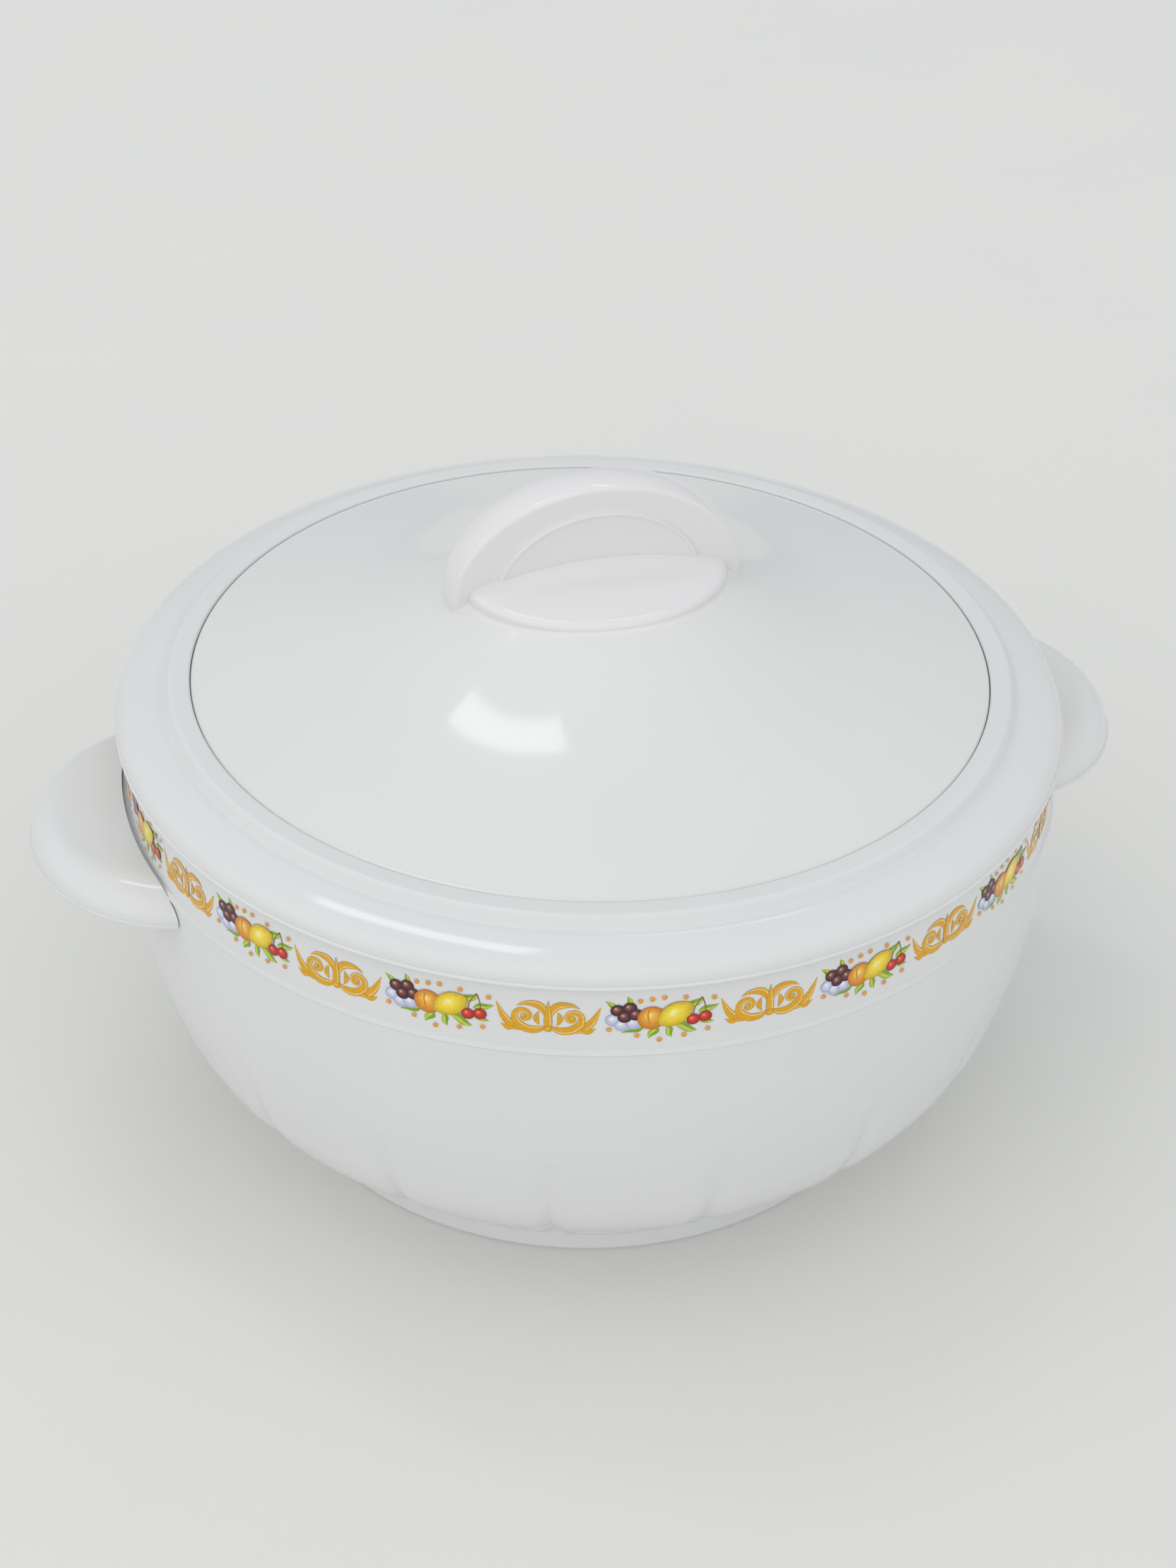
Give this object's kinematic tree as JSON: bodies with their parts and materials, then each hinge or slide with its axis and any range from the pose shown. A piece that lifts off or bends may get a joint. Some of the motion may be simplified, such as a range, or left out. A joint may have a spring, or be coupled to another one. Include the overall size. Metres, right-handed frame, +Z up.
{
  "type": "insulated casserole",
  "caption": "Round insulated serving casserole with a steel inner bowl, two shelf handles and a lift-off domed lid with an arched knob.",
  "frame": {"origin": "centre of the foot ring, on the table", "axes": "+Z up along the bowl's axis, X through the two side handles and along the knob's grip"},
  "size_m": [0.3154, 0.2628, 0.1918],
  "materials": {
    "white_pp": "gloss",
    "cream_pp": "gloss",
    "knob_pp": "gloss",
    "natural_pp": "satin",
    "steel": "satin",
    "foam": "matt",
    "screw_steel": "zinc plated"
  },
  "bodies": {
    "body": {"outer_bowl": "white_pp", "foam_plug": "natural_pp", "collar_ring": "white_pp", "inner_bowl": "steel", "body_foam": "foam", "handle_right": "white_pp", "handle_left": "white_pp", "handle_screws": "screw_steel"},
    "lid": {"lid_ring": "white_pp", "lid_dome": "cream_pp", "lid_liner": "white_pp", "lid_plug": "natural_pp", "lid_foam": "foam", "knob": "knob_pp", "knob_screws": "screw_steel"}
  },
  "joints": [
    {"name": "lid_lift", "type": "slide", "parent": "body", "child": "lid", "axis": [0, 0, 1], "range_m": [0, 0.12]}
  ]
}
